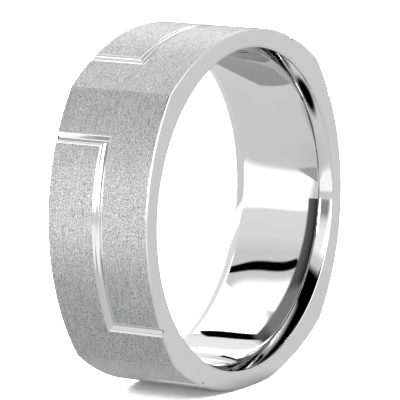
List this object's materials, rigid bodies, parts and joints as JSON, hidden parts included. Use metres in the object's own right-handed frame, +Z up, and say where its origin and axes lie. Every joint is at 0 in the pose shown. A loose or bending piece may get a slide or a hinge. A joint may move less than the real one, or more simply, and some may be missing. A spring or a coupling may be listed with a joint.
{
  "type": "wedding band",
  "caption": "Soft-square finger ring with stepped bright-cut grooves round its satin faces, lined with a polished comfort-fit sleeve with bevelled lips.",
  "frame": {"origin": "centre of the finger hole at mid-width", "axes": "+Y along the finger axis, towards the back side face; +Z up, with the band standing on one of its four crowned faces; +X to the right, seen from the front side face"},
  "size_m": [0.023, 0.0074, 0.023],
  "materials": {
    "satin_metal": "satin",
    "polished_metal": "polished"
  },
  "bodies": {
    "root": {"outer_band": "satin_metal", "comfort_fit_sleeve": "polished_metal"}
  },
  "joints": []
}
